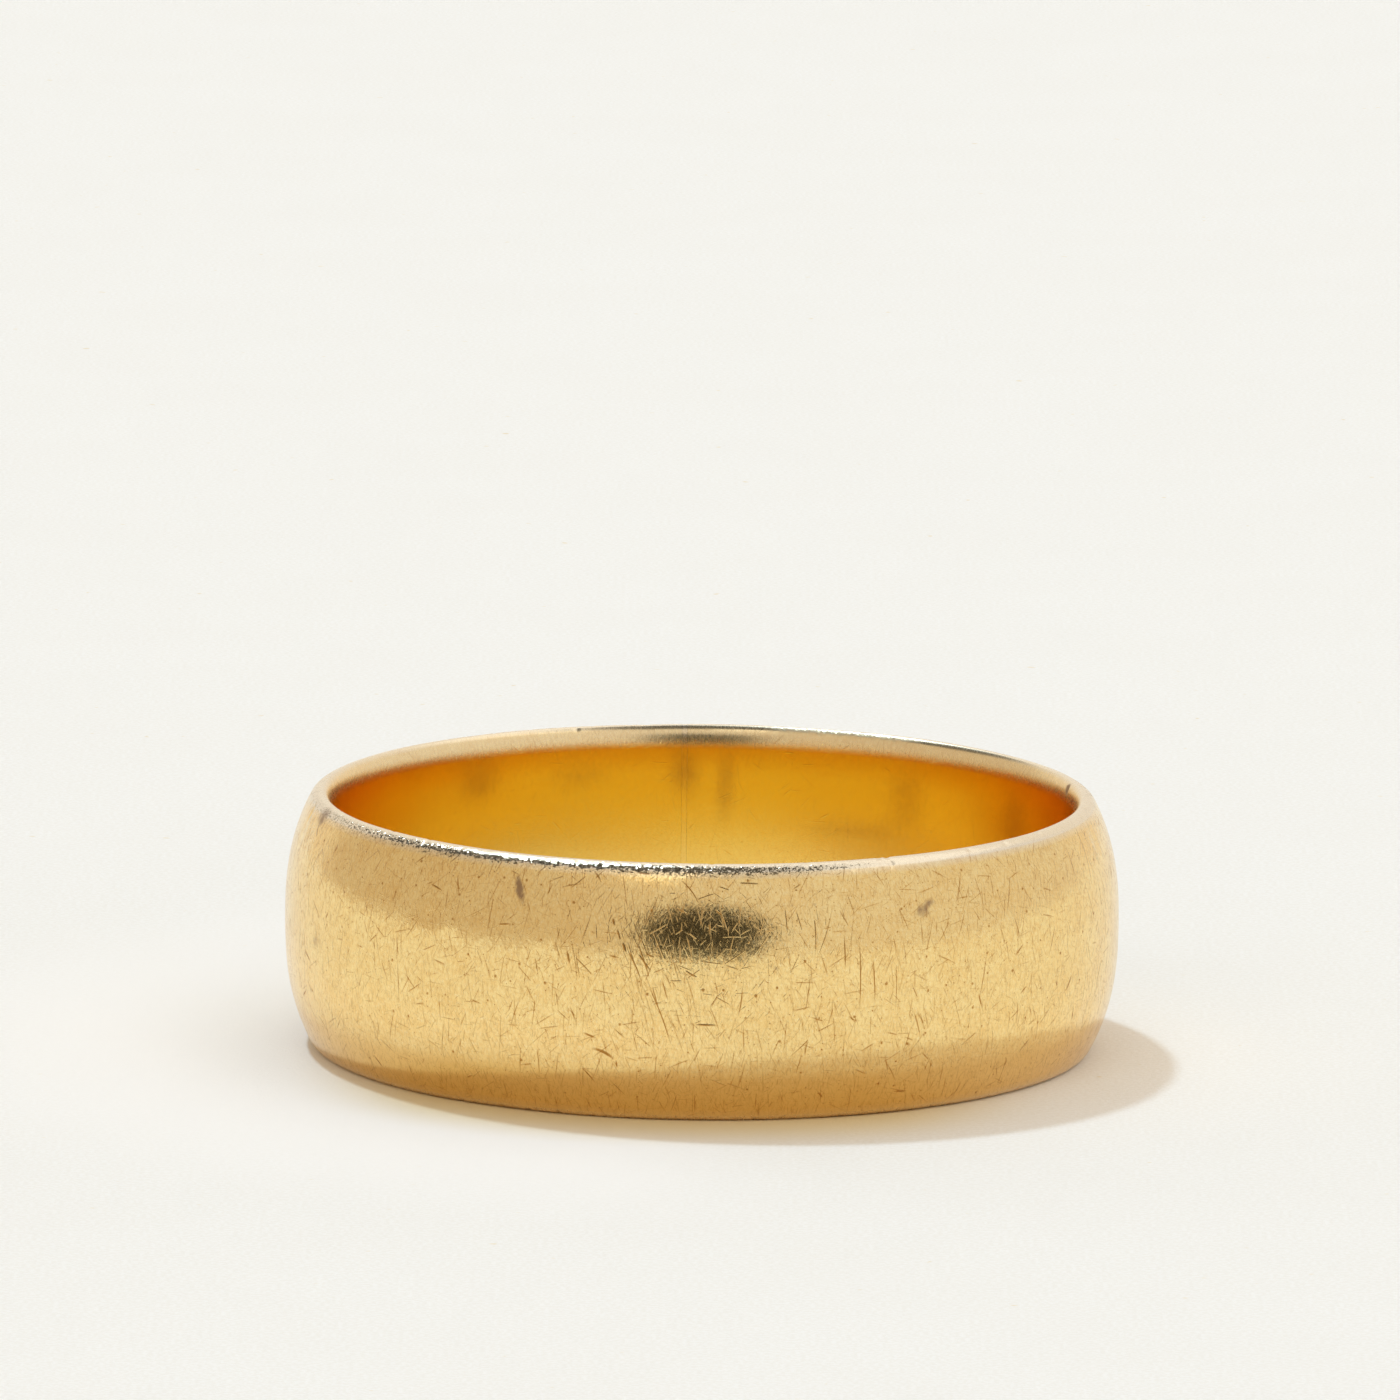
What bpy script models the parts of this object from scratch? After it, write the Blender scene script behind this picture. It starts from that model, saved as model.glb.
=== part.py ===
"""A plain half-round wedding band, lying on its edge with the finger hole upright.

A D-section strip of gold is bent round until its two ends face each other, and a thin layer of
hard solder fills the joint. Each of the two is its own object.

Units are metres. +Z runs along the ring's axis, +Y points to the back, where the joint is, a little
to the left of straight back, and the origin is the centre of the edge that the ring lies on.
"""

import math

import bmesh
import bpy
from mathutils import Matrix, Vector

# Driving dimensions of the section.
BAND_WIDTH = 0.0060
INNER_RADIUS = 0.00875
WALL_AT_CROWN = 0.00108
CROWN_RISE = 0.00067
CROWN_POWER = 2.55  # 2 would be a parabola; a higher power has steeper shoulders
LIP_RADIUS = 0.00022
INNER_ROUND_DEPTH = 0.00020
INNER_ROUND_HEIGHT = 0.00057

# Driving dimensions of the joint, which is at the back of the ring.
JOINT_DIRECTION = math.radians(93)
SOLDER_THICKNESS = 0.00010
SOLDER_CLEARANCE = 0.00002

# How finely the curves are cut into flat faces.
CROWN_CUTS = 14
LIP_CUTS = 3
INNER_ROUND_CUTS = 4
CUTS_ROUND_THE_RING = 120

GOLD_COLOUR = (0.83, 0.58, 0.25, 1.0)
SOLDER_COLOUR = (0.86, 0.68, 0.38, 1.0)

HALF_WIDTH = BAND_WIDTH / 2
OUTER_RADIUS = INNER_RADIUS + WALL_AT_CROWN


def clear_scene():
    for old in list(bpy.data.objects):
        bpy.data.objects.remove(old, do_unlink=True)


def metal(name, colour, roughness):
    """A plain metal, with nothing but its colour and how rough it is."""
    material = bpy.data.materials.new(name)
    material.use_nodes = True
    shader = material.node_tree.nodes["Principled BSDF"]
    shader.inputs["Base Color"].default_value = colour
    shader.inputs["Metallic"].default_value = 1.0
    shader.inputs["Roughness"].default_value = roughness
    material.diffuse_color = colour
    return material


def crown_radius(height):
    """The outer surface's radius at a height above or below the band's middle."""
    return OUTER_RADIUS - CROWN_RISE * abs(height / HALF_WIDTH) ** CROWN_POWER


def upper_half_section():
    """(radius, height) points from the middle of the crown, over the upper lip, to the bore."""
    lip_start = math.atan(CROWN_POWER * CROWN_RISE / HALF_WIDTH)
    crown_end = HALF_WIDTH - LIP_RADIUS * (1 - math.sin(lip_start))
    lip_centre = crown_radius(crown_end) - LIP_RADIUS * math.cos(lip_start)
    points = []
    for i in range(CROWN_CUTS // 2):
        height = crown_end * i / (CROWN_CUTS / 2)
        points.append((crown_radius(height), height))
    for i in range(LIP_CUTS + 1):
        angle = lip_start + (math.pi / 2 - lip_start) * i / LIP_CUTS
        points.append((
            lip_centre + LIP_RADIUS * math.cos(angle),
            HALF_WIDTH - LIP_RADIUS * (1 - math.sin(angle)),
        ))
    for i in range(INNER_ROUND_CUTS + 1):
        angle = math.pi / 2 * i / INNER_ROUND_CUTS
        points.append((
            INNER_RADIUS + INNER_ROUND_DEPTH * (1 - math.sin(angle)),
            HALF_WIDTH - INNER_ROUND_HEIGHT * (1 - math.cos(angle)),
        ))
    return points


def d_section():
    """The whole closed outline, anticlockwise, with heights above the resting edge."""
    upper = upper_half_section()
    lower = [(radius, -height) for radius, height in upper[:0:-1]]
    return [(radius, height + HALF_WIDTH) for radius, height in upper + lower]


def swept_section(name, first_angle, last_angle, cuts, material):
    """The section turned about +Z from one angle to another, and closed at both ends."""
    shape = bmesh.new()
    corners = [shape.verts.new(Vector((radius, 0, height))) for radius, height in d_section()]
    start_cap = shape.faces.new(corners)
    bmesh.ops.rotate(shape, verts=corners, matrix=Matrix.Rotation(first_angle, 3, "Z"))
    turned = bmesh.ops.spin(
        shape,
        geom=[start_cap],
        cent=(0, 0, 0),
        axis=(0, 0, 1),
        angle=last_angle - first_angle,
        steps=cuts,
        use_duplicate=False,
    )
    if not any(isinstance(item, bmesh.types.BMFace) for item in turned["geom_last"]):
        raise RuntimeError("the sweep has no end cap")
    bmesh.ops.recalc_face_normals(shape, faces=shape.faces)
    mesh = bpy.data.meshes.new(name)
    shape.to_mesh(mesh)
    shape.free()
    mesh.shade_smooth()
    mesh.set_sharp_from_angle(angle=math.radians(50))
    mesh.materials.append(material)
    piece = bpy.data.objects.new(name, mesh)
    bpy.context.scene.collection.objects.link(piece)
    return piece


def make_ring():
    gold = metal("gold", GOLD_COLOUR, 0.28)
    solder = metal("solder", SOLDER_COLOUR, 0.32)
    middle_radius = INNER_RADIUS + WALL_AT_CROWN / 2
    half_solder = SOLDER_THICKNESS / 2 / middle_radius
    half_opening = half_solder + SOLDER_CLEARANCE / middle_radius
    swept_section(
        "band",
        JOINT_DIRECTION + half_opening,
        JOINT_DIRECTION + math.tau - half_opening,
        CUTS_ROUND_THE_RING,
        gold,
    )
    swept_section(
        "solder_seam",
        JOINT_DIRECTION - half_solder,
        JOINT_DIRECTION + half_solder,
        1,
        solder,
    )


clear_scene()
make_ring()
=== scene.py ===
"""Looks for the wedding band: worn yellow gold with its solder seam, on sunlit paper.

Lengths are in metres, except on the surface maps. There u runs round the ring and v along its
section, from the middle of the crown over the upper lip into the bore, both in millimetres.
"""

import math

import bpy
import numpy as np
from mathutils import Matrix, Vector


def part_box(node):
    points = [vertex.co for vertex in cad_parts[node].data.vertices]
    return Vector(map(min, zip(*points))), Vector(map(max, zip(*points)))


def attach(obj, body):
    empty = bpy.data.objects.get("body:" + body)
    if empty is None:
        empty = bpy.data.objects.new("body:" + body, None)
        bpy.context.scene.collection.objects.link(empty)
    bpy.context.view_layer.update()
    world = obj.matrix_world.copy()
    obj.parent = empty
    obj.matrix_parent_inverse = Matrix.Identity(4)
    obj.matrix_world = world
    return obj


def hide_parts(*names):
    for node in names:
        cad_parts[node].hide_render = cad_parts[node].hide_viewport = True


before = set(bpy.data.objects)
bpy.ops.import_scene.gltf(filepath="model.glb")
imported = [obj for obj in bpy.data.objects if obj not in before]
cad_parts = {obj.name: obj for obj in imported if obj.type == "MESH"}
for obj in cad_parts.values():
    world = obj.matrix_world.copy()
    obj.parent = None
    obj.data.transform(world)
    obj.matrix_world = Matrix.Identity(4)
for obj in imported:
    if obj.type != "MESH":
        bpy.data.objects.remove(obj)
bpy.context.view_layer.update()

MM = 0.001
RANDOM_SEED = 20

# The ring's section. Its radii and width come from the frame's boxes (the seam's corner nearest
# the axis is within 0.01 mm of the bore), and the rest repeats part.py.
OUTER_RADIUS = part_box("band")[1].x
BAND_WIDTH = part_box("band")[1].z
HALF_WIDTH = BAND_WIDTH / 2
INNER_RADIUS = math.hypot(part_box("solder_seam")[0].x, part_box("solder_seam")[0].y)
CROWN_RISE = 0.67 * MM
CROWN_POWER = 2.55
LIP_RADIUS = 0.33 * MM  # a little rounder than the CAD's, from wear
INNER_ROUND_DEPTH = 0.20 * MM
INNER_ROUND_HEIGHT = 0.57 * MM

# The joint at the back. The seam is drawn a little thicker than the CAD's, so that the gap on
# each side of it is only a hairline.
JOINT_DIRECTION = math.radians(93)
MIDDLE_RADIUS = (INNER_RADIUS + OUTER_RADIUS) / 2
JOINT_HALF_ANGLE = 0.07 * MM / MIDDLE_RADIUS
SEAM_HALF_ANGLE = 0.066 * MM / MIDDLE_RADIUS
SEAM_SUNK = 0.002 * MM

# The surface map's length round the ring, in millimetres.
ROUND_LENGTH = math.tau * OUTER_RADIUS / MM

# How finely the shapes are cut.
CUTS_ROUND = 1200
CUTS_ACROSS_SEAM = 4
CROWN_CUTS = 40
LIP_CUTS = 8
INNER_ROUND_CUTS = 5
BORE_CUTS = 8

# Wear in the metal's own shape: how many, and their smallest and largest size in millimetres.
DENTS = (70, 0.22, 0.75)
LIP_NICKS = (420, 0.04, 0.13)
# How much longer they are along the section than round the ring, and their depth: its share of
# the size, and the smallest and largest part of that share.
DENT_STRETCH = (0.6, 1.7)
NICK_STRETCH = (0.8, 2.2)
DENT_STEEPNESS = 0.035
NICK_STEEPNESS = 0.22
DENT_DEPTHS = (0.3, 1.0)
NICK_DEPTHS = (0.4, 1.0)
NICK_SCATTER = 0.11
# Gentle waves left by hand finishing: how many, their height, the range of how often each goes
# round the ring, how much it leans, and the range of where it starts.
WAVES = 9
WAVE_HEIGHT = 0.0012 * MM
WAVE_TURNS = (3, 15)
WAVE_LEAN = 0.9
WAVE_STARTS = (0, 6.3)

# Where on the upper rim it is knocked most and where nicked, as angles from +X.
KNOCKED_SIDE = math.radians(270 - 31)
NICKED_SIDE = math.radians(67)

# Colours of the metal. A bore has two, near its upper end and lower down: painted light and
# shade, deeper near the top and paler low down.
GOLD = (1.0, 0.735, 0.335)
GOLD_BORE_PAINTED_LIGHT = ((0.885, 0.61, 0.06), (1.0, 0.70, 0.21))
GOLD_GROOVE_SHADE = (0.50, 0.25, 0.06)
SOLDER = (0.95, 0.74, 0.42)
SOLDER_BORE_PAINTED_LIGHT = ((0.895, 0.625, 0.075), (1.0, 0.715, 0.24))
SOLDER_GROOVE_SHADE = (0.5, 0.3, 0.12)
SOLDER_WEAR = 0.9  # how scratched it is, where the gold is 1
LIP_PAINTED_SHEEN = (0.95, 0.83, 0.64)
SILVERY_LIP_PAINTED_HIGHLIGHT = (0.90, 0.865, 0.79)
LIP_DIRT_AND_PAINTED_REFLECTION = (0.14, 0.12, 0.08)
TARNISH = (0.30, 0.175, 0.10)
BORE_PAINTED_SHADE = (0.52, 0.27, 0.03)

# Colours of the paper: its two plain shades, its grain and flecks, and the painted light and shade
# where the ring's light changes it.
PAPER_SHADES = ((0.895, 0.892, 0.880), (0.888, 0.882, 0.866))
PAPER_GRAIN = (0.82, 0.80, 0.76)
PAPER_FLECKS = (0.80, 0.72, 0.56)
PAPER_PAINTED_LIGHT_LEFT = (0.935, 0.922, 0.912)
PAPER_PAINTED_SHADE_AT_FOOT = (0.80, 0.685, 0.43)
PAPER_PAINTED_LIGHT_INSIDE = (0.96, 0.95, 0.93)
PAPER_HALF_SIZE = 0.9

# The camera: it looks down at the ring from the front, through a long lens.
CAMERA_DISTANCE = 36.78 * OUTER_RADIUS
CAMERA_ELEVATION = 0.1924
CAMERA_PITCH = 0.01418
CAMERA_YAW = 0.00028
CAMERA_ROLL = -0.01112
CAMERA_LENS = 394.1
CAMERA_SENSOR = 36.0
CAMERA_CLIP = (0.01, 10.0)

# What the metal mirrors: the room's colours. Over 1 is brighter than white.
SKY = (1.12, 1.08, 1.02)
ROOM_ON_THE_LEFT = (0.65, 0.565, 0.47)
ROOM_ON_THE_RIGHT = (0.80, 0.765, 0.74)
ROOM_BEHIND = (0.87, 0.80, 0.70)
DARK_OVERHEAD = (0.09, 0.08, 0.065)
WINDOW = (1.4, 1.35, 1.25)
WINDOW_DIRECTION = (-0.19, -0.63, 0.70)
PERSON = (0.036, 0.032, 0.025)
BACKDROP = (0.885, 0.876, 0.845)  # only the camera sees it, past the paper's edge

# The lamps.
SUN_DIRECTION = math.radians(126.2)
SUN_ELEVATION = math.radians(61.7)
SUN_SPREAD = math.radians(4.0)
SUN_STRENGTH = 1.20
SUN_COLOUR = (0.62, 0.83, 1.0)
FILL_DIRECTION = (0.1, -1, 0.6)
FILL_SPREAD = math.radians(80)
FILL_STRENGTH = 0.75
FILL_COLOUR = (1.0, 0.83, 0.62)
OVERHEAD_DIRECTION = (0, 0, 1)
OVERHEAD_SPREAD = math.radians(60)
OVERHEAD_STRENGTH = 0.30
LAMP_DISTANCE = 0.3
GLOSSY_BOUNCES = 10  # light bounces many times inside the bore


# ---------------------------------------------------------------- arithmetic with shader nodes


class Value:
    """A number that varies over a surface: a node's output, whose arithmetic adds Math nodes."""

    def __init__(self, tree, socket):
        self.tree = tree
        self.socket = socket

    def calc(self, operation, *others):
        return calc(self.tree, operation, self, *others)

    def __add__(self, other):
        return self.calc("ADD", other)

    def __radd__(self, other):
        return self.calc("ADD", other)

    def __sub__(self, other):
        return self.calc("SUBTRACT", other)

    def __rsub__(self, other):
        return calc(self.tree, "SUBTRACT", other, self)

    def __mul__(self, other):
        return self.calc("MULTIPLY", other)

    def __rmul__(self, other):
        return self.calc("MULTIPLY", other)

    def __truediv__(self, other):
        return self.calc("DIVIDE", other)


def plug(tree, value, socket):
    """Links a Value to an input, or sets the input to a plain number or colour."""
    if isinstance(value, Value):
        tree.links.new(value.socket, socket)
    else:
        socket.default_value = value


def calc(tree, operation, *values):
    """A Math node's answer for plain numbers, Values or both."""
    node = tree.nodes.new("ShaderNodeMath")
    node.operation = operation
    for value, socket in zip(values, node.inputs):
        plug(tree, value, socket)
    return Value(tree, node.outputs[0])


def ramp(value, start, end, low=0.0, high=1.0):
    """Goes smoothly from low to high as value goes from start to end."""
    node = value.tree.nodes.new("ShaderNodeMapRange")
    node.interpolation_type = "SMOOTHSTEP"
    for socket, number in zip(node.inputs, (value, start, end, low, high)):
        plug(value.tree, number, socket)
    return Value(value.tree, node.outputs[0])


def vector(tree, x, y, z=0.0):
    node = tree.nodes.new("ShaderNodeCombineXYZ")
    for socket, value in zip(node.inputs, (x, y, z)):
        plug(tree, value, socket)
    return Value(tree, node.outputs[0])


def parts_of(value):
    node = value.tree.nodes.new("ShaderNodeSeparateXYZ")
    plug(value.tree, value, node.inputs[0])
    return [Value(value.tree, output) for output in node.outputs]


def vector_calc(tree, operation, *values, output=0):
    node = tree.nodes.new("ShaderNodeVectorMath")
    node.operation = operation
    for value, socket in zip(values, [s for s in node.inputs if s.enabled]):
        plug(tree, value, socket)
    return Value(tree, node.outputs[output])


def mix_colour(tree, share, first, second):
    """Goes from the first colour to the second as share goes from 0 to 1."""
    node = tree.nodes.new("ShaderNodeMix")
    node.data_type = "RGBA"
    plug(tree, share, node.inputs["Factor"])
    for value, name in ((first, "A_Color"), (second, "B_Color")):
        socket = next(s for s in node.inputs if s.identifier == name)
        plug(tree, value if isinstance(value, Value) else (*value, 1.0), socket)
    return Value(tree, next(s for s in node.outputs if s.identifier == "Result_Color"))


def noise(tree, place, scale, detail=2.0, roughness=0.5, colour=False):
    node = tree.nodes.new("ShaderNodeTexNoise")
    node.noise_dimensions = "3D"
    plug(tree, place, node.inputs["Vector"])
    node.inputs["Scale"].default_value = scale
    node.inputs["Detail"].default_value = detail
    node.inputs["Roughness"].default_value = roughness
    return Value(tree, node.outputs["Color" if colour else "Fac"])


def attribute(tree, name):
    """A number that is painted on the mesh."""
    node = tree.nodes.new("ShaderNodeAttribute")
    node.attribute_name = name
    return Value(tree, node.outputs["Fac"])


def geometry(tree, name):
    """Where the surface is, or which way it faces."""
    return Value(tree, tree.nodes.new("ShaderNodeNewGeometry").outputs[name])


def random_grid(tree, place):
    """For each cell of a random grid: the way from its middle, and three chances from 0 to 1."""
    node = tree.nodes.new("ShaderNodeTexVoronoi")
    node.voronoi_dimensions = "2D"
    node.inputs["Scale"].default_value = 1.0
    plug(tree, place, node.inputs["Vector"])
    apart = vector_calc(tree, "SUBTRACT", place, Value(tree, node.outputs["Position"]))
    return apart, parts_of(Value(tree, node.outputs["Color"]))


# ---------------------------------------------------------------- the ring's shape


def crown_radius(height):
    return OUTER_RADIUS - CROWN_RISE * abs(height / HALF_WIDTH) ** CROWN_POWER


def upper_half_section():
    """(radius, height) points from the middle of the crown, over the upper lip, to mid-bore."""
    lip_start = math.atan(CROWN_POWER * CROWN_RISE / HALF_WIDTH)
    crown_end = HALF_WIDTH - LIP_RADIUS * (1 - math.sin(lip_start))
    lip_centre = crown_radius(crown_end) - LIP_RADIUS * math.cos(lip_start)
    points = []
    for height in np.linspace(0, crown_end, CROWN_CUTS // 2 + 1)[:-1]:
        points.append((crown_radius(height), height))
    for angle in np.linspace(lip_start, math.pi / 2, LIP_CUTS + 1):
        radius = lip_centre + LIP_RADIUS * math.cos(angle)
        points.append((radius, HALF_WIDTH - LIP_RADIUS * (1 - math.sin(angle))))
    for angle in np.linspace(0, math.pi / 2, INNER_ROUND_CUTS + 1):
        radius = INNER_RADIUS + INNER_ROUND_DEPTH * (1 - math.sin(angle))
        points.append((radius, HALF_WIDTH - INNER_ROUND_HEIGHT * (1 - math.cos(angle))))
    bore_top = HALF_WIDTH - INNER_ROUND_HEIGHT
    for height in np.linspace(bore_top, 0, BORE_CUTS // 2 + 1)[1:]:
        points.append((INNER_RADIUS, height))
    return points


def whole_section():
    """Radius, height, outward normal and distance along the section (v) of its points, in arrays.

    v is 0 at the middle of the crown. The outline starts and ends at mid-bore.
    """
    upper = upper_half_section()
    lower = [(radius, -height) for radius, height in upper[:0:-1]]
    outline = np.array(lower + upper)
    steps = np.linalg.norm(np.diff(outline, axis=0), axis=1)
    along = np.concatenate([[0], np.cumsum(steps)])
    along -= along[len(lower)]
    run = np.gradient(outline, along, axis=0)
    run[0] = run[-1] = (0, -1)
    run /= np.linalg.norm(run, axis=1)[:, None]
    normals = np.column_stack([run[:, 1], -run[:, 0]])
    return outline[:, 0], outline[:, 1] + HALF_WIDTH, normals, along / MM


def section_marks():
    """The distances v at which the upper lip, the flat land and the bore begin."""
    along = whole_section()[3]
    steps = np.cumsum([CROWN_CUTS // 2, LIP_CUTS, 1 + INNER_ROUND_CUTS])
    return along[np.argmin(np.abs(along)) + steps]


def bump_depths(u, v, centres, sizes, depths):
    """How far rounded dents press each point in. Sizes are (round, along) in millimetres."""
    pressed = np.zeros(u.shape)
    for (cu, cv), (su, sv), depth in zip(centres, sizes, depths):
        rows = np.flatnonzero(np.abs(v[0] - cv) < sv)
        columns = np.flatnonzero(np.abs(u[:, 0] - cu) < su)
        if not len(rows) or not len(columns):
            continue
        patch = np.ix_(columns, rows)
        apart = ((u[patch] - cu) / su) ** 2 + ((v[patch] - cv) / sv) ** 2
        pressed[patch] = np.maximum(pressed[patch], depth * np.clip(1 - apart, 0, 1) ** 2)
    return pressed


def scattered_dents(u, v, random, centres, size, stretch, steepness, depths):
    """How far dents of these sizes, at these centres, press each point in, in metres."""
    sizes = np.column_stack([size, size * random.uniform(*stretch, len(size))])
    depth = size * steepness * random.uniform(*depths, len(size)) * MM
    return bump_depths(u, v, centres, sizes, depth)


def worn_in(angles, u, v):
    """How far wear has pressed each point of the surface in, in metres."""
    lip_v, land_v, _ = section_marks()
    random = np.random.default_rng(RANDOM_SEED)
    pressed = np.zeros(u.shape)
    for _ in range(WAVES):
        turns, lean = random.integers(*WAVE_TURNS), random.normal(0, WAVE_LEAN)
        start = random.uniform(*WAVE_STARTS)
        pressed += WAVE_HEIGHT * np.sin(turns * angles[:, None] + lean * v + start)

    count, small, large = DENTS
    centres = np.column_stack([
        random.uniform(0, ROUND_LENGTH, count),
        random.uniform(-lip_v, lip_v, count),
    ])
    size = random.uniform(small, large, count)
    dents = (centres, size, DENT_STRETCH, DENT_STEEPNESS, DENT_DEPTHS)
    pressed += scattered_dents(u, v, random, *dents)

    count, small, large = LIP_NICKS
    side = random.choice([-1, 1], count)
    centres = np.column_stack([
        random.uniform(0, ROUND_LENGTH, count),
        side * ((lip_v + land_v) / 2 + random.normal(0, NICK_SCATTER, count)),
    ])
    size = small + (large - small) * random.random(count) ** 2
    nicks = (centres, size, NICK_STRETCH, NICK_STEEPNESS, NICK_DEPTHS)
    return pressed + scattered_dents(u, v, random, *nicks)


def swept_ring(name, first_angle, last_angle, cuts, sunk=0.0):
    """The worn section turned from one angle to another, closed at both ends, with a (u, v) map."""
    radii, heights, normals, along = whole_section()
    angles = np.linspace(first_angle, last_angle, cuts + 1)
    u = np.repeat((angles - JOINT_DIRECTION)[:, None], len(radii), 1) * OUTER_RADIUS / MM
    v = np.repeat(along[None, :], len(angles), 0)
    pressed = worn_in(angles, u, v) + sunk
    pressed[:, [0, -1]] = 0
    radius = radii[None, :] - normals[None, :, 0] * pressed
    height = heights[None, :] - normals[None, :, 1] * pressed
    height = np.clip(height, 0, BAND_WIDTH)
    points = np.stack([
        radius * np.cos(angles)[:, None],
        radius * np.sin(angles)[:, None],
        height,
    ], axis=2)[:, :-1]
    count = points.shape[1]
    i, j = np.meshgrid(np.arange(cuts), np.arange(count), indexing="ij")
    k = (j + 1) % count
    corners = [i * count + j, (i + 1) * count + j, (i + 1) * count + k, i * count + k]
    quads = np.stack(corners, axis=2).reshape(-1, 4).tolist()
    caps = [list(range(count)), [cuts * count + c for c in reversed(range(count))]]
    uv = np.stack([u, v], axis=2)
    quad_maps = np.stack([uv[i, j], uv[i + 1, j], uv[i + 1, j + 1], uv[i, j + 1]], axis=2)
    maps = np.concatenate([quad_maps.reshape(-1, 2), uv[0, :-1], uv[-1, -2::-1]])
    mesh = bpy.data.meshes.new(name)
    mesh.from_pydata(points.reshape(-1, 3).tolist(), [], quads + caps)
    layer = mesh.uv_layers.new(name="surface")
    layer.data.foreach_set("uv", maps.astype(np.float32).ravel())
    mesh.shade_smooth()
    mesh.set_sharp_from_angle(angle=math.radians(60))
    piece = bpy.data.objects.new(name, mesh)
    bpy.context.scene.collection.objects.link(piece)
    return piece


# ---------------------------------------------------------------- worn gold


def scratches(u, v, direction, spread, cell, length, width, seed):
    """One short groove in each cell of a random grid.

    direction is how far the grooves lean from upright, in degrees, and spread how much that
    varies. cell is (across, along), length is from middle to end, and width from middle to edge.
    Returns the grooves' mask and the tilt that their walls give the surface, towards u and v.
    """
    tree = u.tree
    lean = math.radians(direction)
    across = (u * math.cos(lean) + v * math.sin(lean)) * (1 / cell[0]) + seed
    along = (v * math.cos(lean) - u * math.sin(lean)) * (1 / cell[1]) + seed * 1.7
    place = vector(tree, across, along)
    apart, chance = random_grid(tree, place)
    apart = vector_calc(tree, "MULTIPLY", apart, (cell[0], cell[1], 0.0))
    turn = (chance[0] - 0.5) * math.radians(spread)
    x, y, _ = parts_of(apart)
    cosine, sine = turn.calc("COSINE"), turn.calc("SINE")
    beside = x * cosine + y * sine
    beyond = y * cosine - x * sine
    beside = beside + beyond * beyond * ((chance[1] - 0.5) * 0.25)
    reach = beyond / ((chance[1] * 0.7 + 0.3) * length)
    fade = (1.0 - reach * reach).calc("MAXIMUM", 0.0)
    side = beside / ((chance[2] * 0.6 + 0.4) * width)
    wall = (1.0 - side * side).calc("MAXIMUM", 0.0)
    strength = chance[2] * chance[2] * fade
    mask = wall * strength
    tilt = side * mask * 2.0
    return mask, tilt * (turn + lean).calc("COSINE"), tilt * (turn + lean).calc("SINE")


def brushed(u, v, lean, fine, long, seed):
    """Dense hairlines that run nearly one way. Returns their mask and tilt.

    lean is in degrees from upright, fine and long are the hairlines' size in millimetres.
    """
    tree = u.tree
    cosine, sine = math.cos(math.radians(lean)), math.sin(math.radians(lean))
    across = (u * cosine + v * sine) * (1 / fine) + seed
    along = (v * cosine - u * sine) * (1 / long)
    streaks = noise(tree, vector(tree, across, along), 1.0, 2.0, 0.6)
    tilt = streaks - 0.5
    return ramp(streaks, 0.52, 0.72), tilt * cosine, tilt * sine


def pits(u, v, cell, radius, share, seed):
    """A small round pit in some cells of a random grid. Returns its mask and tilt."""
    tree = u.tree
    place = vector(tree, u * (1 / cell) + seed, v * (1 / cell) - seed)
    apart, chance = random_grid(tree, place)
    x, y, _ = parts_of(apart)
    size = (chance[0] * 0.8 + 0.2) * (radius / cell)
    x = x / size
    y = y / size
    kept = chance[1].calc("LESS_THAN", share)
    mask = (1.0 - x * x - y * y).calc("MAXIMUM", 0.0) * kept
    return mask, x * mask, y * mask


def placed_scratch(u, v, centre, length, width, lean, bend):
    """One groove at a chosen place: (u, v) centre, half length and half width in millimetres."""
    cosine, sine = math.cos(math.radians(lean)), math.sin(math.radians(lean))
    x, y = u - centre[0], v - centre[1]
    beside = x * cosine + y * sine
    beyond = (y * cosine - x * sine) * (1 / length)
    beside = (beside + beyond * beyond * bend) * (1 / width)
    fade = (1.0 - beyond * beyond).calc("MAXIMUM", 0.0)
    mask = (1.0 - beside * beside).calc("MAXIMUM", 0.0) * fade
    tilt = beside * mask * 1.5
    return mask, tilt * cosine, tilt * sine


# In the lists of marks below, heights are in millimetres above the resting edge. One between 6
# and 10 is past the crown, on the rim, and a mark in the bore has this much added to its height.
BORE_HEIGHTS = 10


def on_surface(degrees, height):
    """(u, v) of a spot on the ring, from its angle to the right of the front and its height."""
    angle = math.radians(degrees - 90) - JOINT_DIRECTION
    u = (angle % math.tau) * OUTER_RADIUS / MM
    if height > BORE_HEIGHTS:
        bore_v = section_marks()[2]
        return u, bore_v + (BAND_WIDTH - INNER_ROUND_HEIGHT) / MM + BORE_HEIGHTS - height
    # The distance up the crown is a little more than the height.
    level = height - HALF_WIDTH / MM
    slope_rise = CROWN_RISE / MM * abs(level * MM / HALF_WIDTH) ** CROWN_POWER
    return u, math.copysign(math.hypot(level, slope_rise * 0.8), level)


# Grooves that stand out, as (degrees from the front, height, half length, half width, lean, bend).
DEEP_SCRATCHES = [
    (-13.2, 1.67, 0.30, 0.042, 66, 0.05),
    (-15.1, 2.05, 0.17, 0.028, 70, 0.00),
    (-18.2, 3.86, 0.15, 0.030, 14, 0.01),
    (-12.1, 4.72, 0.09, 0.032, 14, 0.00),
    (-11.3, 4.44, 0.13, 0.026, 18, 0.01),
    (-10.5, 4.15, 0.12, 0.036, 20, 0.00),
    (-8.9, 3.75, 0.40, 0.017, 26, 0.03),
    (-7.7, 3.85, 0.42, 0.018, 20, 0.02),
    (-5.3, 2.60, 0.75, 0.018, 21, 0.04),
    (5.4, 2.95, 0.36, 0.018, -7, 0.02),
    (19.7, 4.03, 0.40, 0.020, 1, 0.00),
    (21.9, 3.46, 0.85, 0.019, 0, 0.02),
    (23.9, 3.40, 0.42, 0.020, 3, 0.00),
    (-1.6, 5.50, 0.34, 0.018, 40, 0.04),
]
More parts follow.
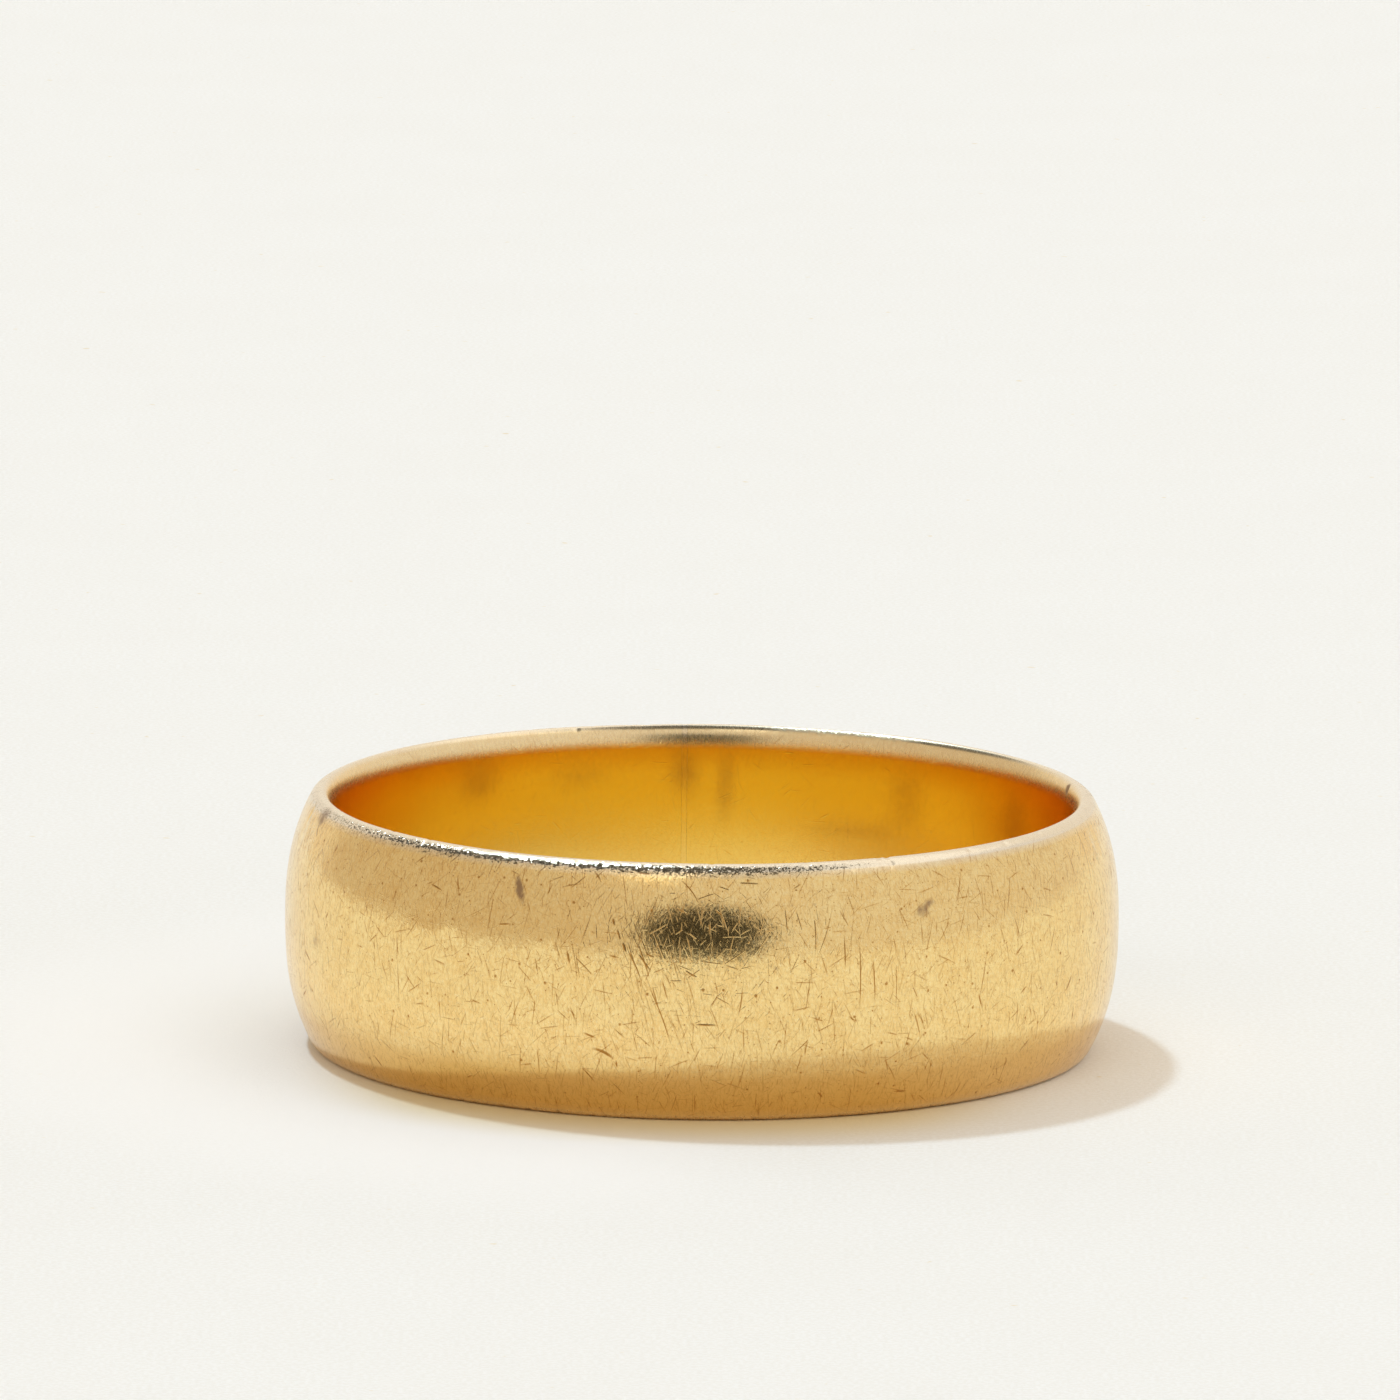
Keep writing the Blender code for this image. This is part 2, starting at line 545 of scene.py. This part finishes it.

# Tarnish and grime on the crown and rim, and painted shade in the bore, as (degrees, height,
# half width, half height, lean, strength).
STAINS_AND_PAINTED_SHADE = [
    (-26.2, 5.28, 0.115, 0.40, 24, 0.95),
    (-26.5, 5.34, 0.07, 0.24, 24, 1.2),
    (31.9, 4.84, 0.30, 0.22, 0, 0.66),
    (33.2, 4.98, 0.20, 0.14, 20, 0.70),
    (-73.5, 5.86, 0.42, 0.34, -10, 0.72),
    (-66.0, 3.10, 0.45, 0.35, 0, 0.45),
    (55.5, 5.68, 0.25, 0.12, 0, 0.4),
    (51.5, 5.84, 0.20, 0.10, 0, 0.4),
    (0.9, 3.61, 0.055, 0.045, 0, 1.2),
    (10.1, 3.69, 0.13, 0.10, 0, 0.5),
    (12.5, 5.17, 0.06, 0.05, 0, 0.8),
    (15.8, 5.18, 0.05, 0.07, -30, 0.8),
    (19.2, 2.65, 0.09, 0.14, -20, 0.6),
    (-12.7, 4.91, 0.06, 0.06, 0, 1.2),
    (-20.5, 2.1, 0.10, 0.25, 0, 0.3),
    (100.0, 3.9, 0.30, 0.16, 10, 0.6),
    (148.0, 4.6, 0.10, 0.30, -25, 0.8),
    (171.0, 2.3, 0.35, 0.20, 0, 0.45),
    (-121.0, 4.2, 0.12, 0.30, 30, 0.8),
    (-98.0, 1.9, 0.22, 0.14, 0, 0.5),
    (102.0, 6.42, 0.17, 0.14, 0, 1.2),
    # In the bore: painted shade that darkens its upper part, and at 157 degrees a long painted
    # reflection of a dark line.
    (183.0, 14.9, 0.50, 0.7, 12, 0.56),
    (176.5, 14.6, 0.34, 1.1, -4, 0.46),
    (218.0, 15.0, 0.90, 0.7, 10, 0.50),
    (200.0, 14.9, 1.10, 0.5, 0, 0.34),
    (146.0, 14.6, 0.80, 0.9, -15, 0.42),
    (157.0, 13.8, 2.20, 0.26, -2, 0.60),
    (122.0, 14.4, 0.90, 0.9, 0, 0.52),
]

# A bunch of steep scratches, in the same way.
RUBBED = (-5.5, 3.2, 0.75, 1.1, 20, 1.0)


def paint_wear_and_painted_light(piece):
    """Adds to the mesh, for its material, where it is stained or painted with shade, or rubbed, and
    where its rims are.

    rubbed is a bunch of steep scratches, lip the whole rim, edge its outer, knocked part,
    painted_lip_highlight where a painted highlight makes it paler, and nicked where small nicks
    break up its inner side.
    """
    mesh = piece.data
    uv = np.empty(len(mesh.loops) * 2, np.float32)
    mesh.uv_layers["surface"].data.foreach_get("uv", uv)
    corners = np.empty(len(mesh.loops), np.int32)
    mesh.loops.foreach_get("vertex_index", corners)
    u, v = np.zeros(len(mesh.vertices)), np.zeros(len(mesh.vertices))
    u[corners], v[corners] = uv[0::2], uv[1::2]

    def soft_spot(degrees, height, wide, tall, lean, strength):
        cu, cv = on_surface(degrees, height)
        cosine, sine = math.cos(math.radians(lean)), math.sin(math.radians(lean))
        apart = (u - cu + ROUND_LENGTH / 2) % ROUND_LENGTH - ROUND_LENGTH / 2
        x = apart * cosine + (v - cv) * sine
        y = (v - cv) * cosine - apart * sine
        return strength * np.exp(-((x / wide) ** 2) - (y / tall) ** 2)

    def facing(side):
        return np.cos(u * MM / OUTER_RADIUS + JOINT_DIRECTION - side)

    stain_and_painted_shade = np.zeros(len(u))
    for spot in STAINS_AND_PAINTED_SHADE:
        stain_and_painted_shade = np.maximum(stain_and_painted_shade, soft_spot(*spot))
    lip_v, land_v, bore_v = section_marks()
    reach = np.abs(v)
    inside = np.clip((reach - bore_v) / 0.2 + 1, 0, 1)
    lip = np.clip((reach - lip_v) / 0.06 + 0.5, 0, 1) * (1 - inside)
    # The upper edge is knocked most at the front, a little to the left.
    knocks = 0.12 + 0.88 * np.clip((facing(KNOCKED_SIDE) - 0.50) / 0.25, 0, 1) * (v > 0)
    knock_line = np.clip(1.15 - ((reach - lip_v - 0.11) / 0.15) ** 2, 0, 1)
    edge = knock_line * (1 - inside) * knocks
    # Painted highlight: the upper lip is made paler, like a bright reflection in it.
    painted_lip_highlight = lip * np.clip((land_v - reach) / 0.10 + 1.5, 0, 1) * (v > 0)
    # Small nicks catch the sun on the inner side of the rim, at the back and to the right.
    nicked = np.clip((facing(NICKED_SIDE) - 0.972) / 0.015, 0, 1)
    nicked *= (v > land_v - 0.1) * (v < bore_v)
    nicked *= np.clip((land_v + 0.30 - v) / 0.12, 0, 1)
    for name, values in (
        ("stain_and_painted_shade", stain_and_painted_shade),
        ("rubbed", soft_spot(*RUBBED)),
        ("lip", lip),
        ("edge", edge),
        ("inside", inside),
        ("painted_lip_highlight", painted_lip_highlight),
        ("nicked", nicked),
    ):
        layer = mesh.attributes.new(name, "FLOAT", "POINT")
        layer.data.foreach_set("value", values.astype(np.float32))


def new_material(name):
    material = bpy.data.materials.new(name)
    material.use_nodes = True
    return material, material.node_tree, material.node_tree.nodes["Principled BSDF"]


# Hairlines all over the metal, as (lean, fine, long, seed, depth, painted_shade in them).
HAIRLINES = [
    (3, 0.040, 0.40, 5.3, 0.10, 0.22),
    (-24, 0.045, 0.30, 31.7, 0.10, 0.20),
    (31, 0.045, 0.30, 47.1, 0.10, 0.20),
    (80, 0.050, 0.25, 63.9, 0.08, 0.18),
]

# Random scratches, as (direction, spread, cell, length, width, seed, depth, painted_shade).
SCRATCHES = [
    (5, 70, (0.11, 0.24), 0.20, 0.013, 3.3, 0.34, 0.48),
    (-12, 120, (0.15, 0.26), 0.22, 0.013, 17.7, 0.36, 0.48),
    (40, 180, (0.21, 0.28), 0.24, 0.014, 29.1, 0.36, 0.50),
    (2, 60, (0.26, 0.60), 0.50, 0.017, 41.9, 0.42, 0.72),
    (-24, 90, (0.38, 0.60), 0.50, 0.017, 57.3, 0.42, 0.72),
    (-3, 46, (0.52, 1.00), 0.75, 0.020, 83.3, 0.45, 0.80),
    (76, 120, (0.66, 0.45), 0.40, 0.019, 97.1, 0.42, 0.75),
    (10, 180, (0.90, 0.80), 0.26, 0.028, 113.7, 0.50, 1.10),
]

# The scratches where the metal is rubbed, as (direction, spread, cell, length, width, seed).
RUBBED_SCRATCHES = (20, 16, (0.055, 0.9), 0.7, 0.022, 71.3)

# Random pits, as (cell, radius, share, seed, depth, painted_shade).
PITS = [
    (0.16, 0.022, 0.55, 11.1, 0.45, 0.8),
    (0.62, 0.050, 0.55, 23.9, 0.40, 0.9),
]


class Grooves:
    """Marks in a metal, added up: the painted shade that darkens them and how they tilt it towards
    u and v.
    """

    def __init__(self):
        self.painted_shade = 0.0
        self.tilt_u = 0.0
        self.tilt_v = 0.0

    def add(self, found, depth, painted_shade):
        mask, towards_u, towards_v = found
        self.painted_shade = mask * painted_shade + self.painted_shade
        self.tilt_u = towards_u * depth + self.tilt_u
        self.tilt_v = towards_v * depth + self.tilt_v


def all_grooves(u, v, outside, rubbed, wear):
    """Every hairline, scratch and pit of a metal. Its bore and its lips have fewer."""
    grooves = Grooves()
    for *shape, depth, painted_shade in HAIRLINES:
        found = brushed(u, v, *shape)
        grooves.add(found, outside * (depth * wear), outside * (painted_shade * wear))
    for *shape, depth, painted_shade in SCRATCHES:
        found = scratches(u, v, *shape)
        grooves.add(found, outside * (depth * wear), outside * (painted_shade * wear))
    bunch = scratches(u, v, *RUBBED_SCRATCHES)
    grooves.add(bunch, rubbed * 0.6 * wear, rubbed * 1.3 * wear)
    for *shape, depth, painted_shade in PITS:
        grooves.add(pits(u, v, *shape), outside * depth, outside * painted_shade)
    for degrees, height, *shape in DEEP_SCRATCHES:
        centre = on_surface(degrees, height)
        grooves.add(placed_scratch(u, v, centre, *shape), 0.5, 1.2)
    return grooves


def tilted_normal(tree, tilt_u, tilt_v):
    """The surface's normal, leaning round the ring by tilt_u and up its section by tilt_v."""
    normal = geometry(tree, "Normal")
    outwards = vector_calc(tree, "MULTIPLY", geometry(tree, "Position"), (1.0, 1.0, 0.0))
    round_ring = vector_calc(tree, "CROSS_PRODUCT", (0.0, 0.0, 1.0), outwards)
    round_ring = vector_calc(tree, "NORMALIZE", round_ring)
    up_section = vector_calc(tree, "CROSS_PRODUCT", normal, round_ring)
    lean_u = vector_calc(tree, "MULTIPLY", round_ring, vector(tree, tilt_u, tilt_u, tilt_u))
    lean_v = vector_calc(tree, "MULTIPLY", up_section, vector(tree, tilt_v, tilt_v, tilt_v))
    tilted = vector_calc(tree, "ADD", normal, vector_calc(tree, "ADD", lean_u, lean_v))
    return vector_calc(tree, "NORMALIZE", tilted)


def tinted(colour, red, green, blue):
    """A colour with its parts multiplied, and none of them over 1."""
    return tuple(min(1.0, part * share) for part, share in zip(colour, (red, green, blue)))


def clean_colour(u, v, mottle, inside, colour, painted_bore_colours):
    """A metal's colour without its marks: slightly mottled, with painted highlight flecks, painted
    shade on the lower shoulder, and painted light and shade graded in the bore.
    """
    tree = u.tree
    cloud = noise(tree, vector(tree, u, v), 1.3, 4.0, 0.55)
    paler = tinted(colour, 1.05, 1.05, 1.05)
    deeper = tinted(colour, 0.93, 0.87, 0.74)
    shade = mix_colour(tree, ramp(cloud * 0.35 + mottle * 0.65, 0.36, 0.64), paler, deeper)
    # Painted highlights: pale flecks like glints on the bright edges of scratches.
    fleck = noise(tree, vector(tree, u, v * 0.4), 27.0, 3.0, 0.7)
    shade = mix_colour(tree, ramp(fleck, 0.53, 0.68) * 0.75, shade, tinted(colour, 1.06, 1.13, 1.4))
    # Painted shade: the lower shoulder is deeper in colour, where it mirrors the paper in the
    # ring's shadow.
    painted_shoulder_shade = tinted(colour, 0.88, 0.80, 0.66)
    shade = mix_colour(tree, ramp(v, -1.7, -2.1) * 0.8, shade, painted_shoulder_shade)
    # Painted light and shade in the bore: paler low down, where it mirrors the sunlit paper, and
    # deeper near its upper end.
    height = parts_of(geometry(tree, "Position"))[2]
    painted_bore_shade = mix_colour(tree, ramp(height, 4.6 * MM, 1.6 * MM), *painted_bore_colours)
    return mix_colour(tree, inside, shade, painted_bore_shade)


def worn_metal(name, colour, painted_bore_colours, groove_shade_colour, wear):
    """Polished metal under years of fine scratches, pits and a little tarnish, and painted light
    and shade.
    """
    material, tree, shader = new_material(name)
    uv_node = tree.nodes.new("ShaderNodeUVMap")
    uv_node.uv_map = "surface"
    u, v, _ = parts_of(Value(tree, uv_node.outputs[0]))
    stain_and_painted_shade, rubbed = attribute(tree, "stain_and_painted_shade"), attribute(tree, "rubbed")
    lip, edge, inside = (attribute(tree, mark) for mark in ("lip", "edge", "inside"))
    painted_lip_highlight, nicked = attribute(tree, "painted_lip_highlight"), attribute(tree, "nicked")
    outside = (1.0 - inside * 0.85) * (1.0 - lip * 0.8)
    grooves = all_grooves(u, v, outside, rubbed, wear)

    # Shape: the grooves' walls, a fine grain all over, and the chips of the knocked lip.
    grain = noise(tree, vector(tree, u, v), 22.0, 3.0, 0.6, colour=True)
    grain_u, grain_v, _ = parts_of(grain)
    chips = noise(tree, vector(tree, u, v * 1.3), 13.0, 3.0, 0.7, colour=True)
    chips_u, chips_v, _ = parts_of(chips)
    knocked = edge * 1.7 + nicked
    coarse = (1.0 - inside * 0.6) * (0.10 * wear)
    tilt_u = grooves.tilt_u + (grain_u - 0.5) * coarse + (chips_u - 0.5) * knocked
    tilt_v = grooves.tilt_v + (grain_v - 0.5) * coarse + (chips_v - 0.5) * knocked
    plug(tree, tilted_normal(tree, tilt_u, tilt_v), shader.inputs["Normal"])

    # Colour: a painted sheen on the lip, painted shade in the grooves, grime and a painted dark
    # reflection in the chips, brown tarnish, and painted shade in the bore.
    mottle = noise(tree, vector(tree, u, v * 0.55), 13.0, 4.0, 0.7)
    shade = clean_colour(u, v, mottle, inside, colour, painted_bore_colours)
    # Painted sheen on both lips, and a painted highlight on the upper one, make them paler.
    shade = mix_colour(tree, lip * 0.35, shade, LIP_PAINTED_SHEEN)
    shade = mix_colour(tree, painted_lip_highlight * 0.60, shade, SILVERY_LIP_PAINTED_HIGHLIGHT)
    groove = grooves.painted_shade.calc("MINIMUM", 1.0)
    shade = mix_colour(tree, groove, shade, groove_shade_colour)
    # Grime in the chips of the knocked lip, and partly a painted dark reflection.
    dirt_and_painted_reflection = ramp(chips_u, 0.47, 0.60) * edge
    shade = mix_colour(tree, dirt_and_painted_reflection * 0.45, shade, LIP_DIRT_AND_PAINTED_REFLECTION)
    # Tarnish on the crown and rim; in the bore the stains and smudges are painted shade.
    smudge = noise(tree, vector(tree, u, v * 0.6), 7.0, 4.0, 0.7)
    patchy = stain_and_painted_shade + (smudge - 0.5) * (0.9 - inside * 0.6)
    tarnish_and_painted_shade = ramp(patchy, 0.25 - inside * 0.20, 0.8)
    tarnish_and_shade_colour = mix_colour(tree, inside, TARNISH, BORE_PAINTED_SHADE)
    shade = mix_colour(tree, tarnish_and_painted_shade * 0.85, shade, tarnish_and_shade_colour)
    plug(tree, shade, shader.inputs["Base Color"])

    # Roughness: an uneven haze, and more of it on the rims and wherever the metal is marked.
    rough = ramp(mottle, 0.3, 0.75, 0.12, 0.19) + inside * 0.01
    rough = rough + nicked * 0.14 + (lip - edge) * 0.12
    rough = rough + groove * 0.18 + tarnish_and_painted_shade * (0.25 - inside * 0.15)
    plug(tree, rough, shader.inputs["Roughness"])
    shader.inputs["Metallic"].default_value = 1.0
    return material


# ---------------------------------------------------------------- paper, light and camera


def make_paper():
    """A sheet of matt white paper that reaches well past the view."""
    material, tree, shader = new_material("paper")
    coordinates = tree.nodes.new("ShaderNodeTexCoord")
    place = Value(tree, coordinates.outputs["Object"])
    tooth = noise(tree, place, 7000.0, 4.0, 0.75)
    cloud = noise(tree, place, 160.0, 3.0, 0.6)
    fleck = noise(tree, place, 2100.0, 1.0, 0.5)
    colour = mix_colour(tree, ramp(cloud, 0.3, 0.7), *PAPER_SHADES)
    grain = noise(tree, place, 9000.0, 2.0, 0.6)
    colour = mix_colour(tree, ramp(grain, 0.62, 0.40) * 0.5, colour, PAPER_GRAIN)
    colour = mix_colour(tree, ramp(fleck, 0.76, 0.84), colour, PAPER_FLECKS)
    # Painted light and shade: the ring's light, painted into the paper's colour, brightens it on
    # the left and inside the ring, and painted gold light and shade warm and darken it at the
    # ring's foot, most of all in its shadow in front.
    x, y, _ = parts_of(place)
    away = (x * x + y * y).calc("SQRT")
    painted_glow = ramp(away, 22 * MM, 12 * MM) * ramp(x, 3 * MM, -3 * MM)
    colour = mix_colour(tree, painted_glow, colour, PAPER_PAINTED_LIGHT_LEFT)
    outside = ramp(away, 8.7 * MM, 8.9 * MM)
    across = ramp(x, 8.5 * MM, 4 * MM) * ramp(x, -10 * MM, -6 * MM)
    painted_foot_shade = outside * ramp(away, 12.4 * MM, 9.2 * MM) * ramp(y, 1 * MM, -3 * MM) * across
    colour = mix_colour(tree, painted_foot_shade, colour, PAPER_PAINTED_SHADE_AT_FOOT)
    colour = mix_colour(tree, outside, PAPER_PAINTED_LIGHT_INSIDE, colour)
    plug(tree, colour, shader.inputs["Base Color"])
    shader.inputs["Roughness"].default_value = 0.9
    shader.inputs["Specular IOR Level"].default_value = 0.1
    bump = tree.nodes.new("ShaderNodeBump")
    bump.inputs["Strength"].default_value = 0.5
    bump.inputs["Distance"].default_value = 0.00004
    plug(tree, tooth, bump.inputs["Height"])
    tree.links.new(bump.outputs[0], shader.inputs["Normal"])
    mesh = bpy.data.meshes.new("paper")
    size = PAPER_HALF_SIZE
    corners = [(-size, -size, 0), (size, -size, 0), (size, size, 0), (-size, size, 0)]
    mesh.from_pydata(corners, [], [(0, 1, 2, 3)])
    mesh.materials.append(material)
    paper = bpy.data.objects.new("paper", mesh)
    bpy.context.scene.collection.objects.link(paper)


def make_room():
    """The room that the metal mirrors, painted by direction: its sides, sky, window and person."""
    world = bpy.data.worlds.new("room")
    bpy.context.scene.world = world
    world.use_nodes = True
    tree = world.node_tree
    background = tree.nodes["Background"]
    coordinates = tree.nodes.new("ShaderNodeTexCoord")
    direction = Value(tree, coordinates.outputs["Generated"])
    x, y, z = parts_of(direction)

    def towards(point):
        aim = tuple(Vector(point).normalized())
        return vector_calc(tree, "DOT_PRODUCT", direction, aim, output=1)

    low = mix_colour(tree, ramp(x, -1.05, 0.5), ROOM_ON_THE_LEFT, ROOM_ON_THE_RIGHT)
    level = calc(tree, "SQRT", (1.0 - z * z).calc("MAXIMUM", 0.001))
    low = mix_colour(tree, ramp(y / level, 0.55, 0.80), low, ROOM_BEHIND)
    high = ramp(z, 0.60, 0.76) * ramp(y, -0.62, -0.42)
    light = mix_colour(tree, high, low, SKY)
    # Something dark hangs overhead, from behind the ring to the front and far to the left.
    cap_x = (x + 0.26) / 0.67
    cap_y = (y + x * 0.50 + 0.11) / 0.58
    cap = ramp(cap_x * cap_x + cap_y * cap_y, 1.1, 0.88) * ramp(z, 0.48, 0.58)
    light = mix_colour(tree, cap, light, DARK_OVERHEAD)
    beside_sun = ramp(towards(sun_direction()), 0.972, 0.984)
    light = mix_colour(tree, beside_sun, light, SKY)
    window = ramp(towards(WINDOW_DIRECTION), 0.984, 0.995)
    light = mix_colour(tree, window, light, WINDOW)
    # The photographer and the camera, as a dark shape in front of the ring.
    shape_x = (x - 0.008) / 0.305
    shape_z = (z - 0.19) / 0.25
    ahead = calc(tree, "LESS_THAN", y, 0.0)
    person = ramp(shape_x * shape_x + shape_z * shape_z, 1.08, 0.84) * ahead
    light = mix_colour(tree, person, light, PERSON)
    ray = tree.nodes.new("ShaderNodeLightPath")
    seen = Value(tree, ray.outputs["Is Camera Ray"])
    light = mix_colour(tree, seen, light, BACKDROP)
    plug(tree, light, background.inputs["Color"])


def sun_direction():
    level = math.cos(SUN_ELEVATION)
    east, north = level * math.cos(SUN_DIRECTION), level * math.sin(SUN_DIRECTION)
    return Vector((east, north, math.sin(SUN_ELEVATION)))


def make_lamp(name, direction, strength, colour, spread):
    lamp = bpy.data.lights.new(name, "SUN")
    lamp.energy = strength
    lamp.color = colour
    lamp.angle = spread
    holder = bpy.data.objects.new(name, lamp)
    holder.rotation_mode = "QUATERNION"
    holder.rotation_quaternion = direction.to_track_quat("Z", "Y")
    holder.location = direction * LAMP_DISTANCE
    bpy.context.scene.collection.objects.link(holder)
    return holder


def make_lamps():
    make_lamp("sun", sun_direction(), SUN_STRENGTH, SUN_COLOUR, SUN_SPREAD)
    # Warm light that the room in front and above sends back onto the paper. The gold doesn't
    # mirror these two, because it mirrors the room itself.
    ahead, overhead = Vector(FILL_DIRECTION), Vector(OVERHEAD_DIRECTION)
    fill = make_lamp("fill", ahead, FILL_STRENGTH, FILL_COLOUR, FILL_SPREAD)
    above = make_lamp("above", overhead, OVERHEAD_STRENGTH, FILL_COLOUR, OVERHEAD_SPREAD)
    for lamp in (fill, above):
        lamp.visible_glossy = False


def make_camera():
    data = bpy.data.cameras.new("camera")
    data.sensor_width = CAMERA_SENSOR
    data.lens = CAMERA_LENS
    data.clip_start, data.clip_end = CAMERA_CLIP
    camera = bpy.data.objects.new("camera", data)
    backwards = Vector((0, -math.cos(CAMERA_ELEVATION), math.sin(CAMERA_ELEVATION)))
    right = Vector((1, 0, 0))
    forward = -backwards
    up = right.cross(forward)
    pitch = Matrix.Rotation(CAMERA_PITCH, 3, right)
    forward, up = pitch @ forward, pitch @ up
    yaw = Matrix.Rotation(CAMERA_YAW, 3, up)
    forward, right = yaw @ forward, yaw @ right
    roll = Matrix.Rotation(CAMERA_ROLL, 3, forward)
    right, up = roll @ right, roll @ up
    place = Matrix((right, up, -forward)).transposed().to_4x4()
    place.translation = Vector((0, 0, HALF_WIDTH)) + backwards * CAMERA_DISTANCE
    camera.matrix_world = place
    bpy.context.scene.collection.objects.link(camera)
    bpy.context.scene.camera = camera


def make_ring():
    gold = worn_metal("worn_gold", GOLD, GOLD_BORE_PAINTED_LIGHT, GOLD_GROOVE_SHADE, 1.0)
    solder = worn_metal("worn_solder", SOLDER, SOLDER_BORE_PAINTED_LIGHT, SOLDER_GROOVE_SHADE, SOLDER_WEAR)
    band = swept_ring(
        "band_worn",
        JOINT_DIRECTION + JOINT_HALF_ANGLE,
        JOINT_DIRECTION + math.tau - JOINT_HALF_ANGLE,
        CUTS_ROUND,
    )
    seam = swept_ring(
        "solder_seam_worn",
        JOINT_DIRECTION - SEAM_HALF_ANGLE,
        JOINT_DIRECTION + SEAM_HALF_ANGLE,
        CUTS_ACROSS_SEAM,
        sunk=SEAM_SUNK,
    )
    for piece, metal, node, slot in (
        (band, gold, "band", "gold"),
        (seam, solder, "solder_seam", "solder"),
    ):
        paint_wear_and_painted_light(piece)
        piece.data.materials.append(metal)
        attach(piece, "root")
        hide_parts(node)


make_paper()
make_room()
make_lamps()
make_camera()
make_ring()
bpy.context.scene.view_settings.view_transform = "Standard"
bpy.context.scene.cycles.glossy_bounces = GLOSSY_BOUNCES
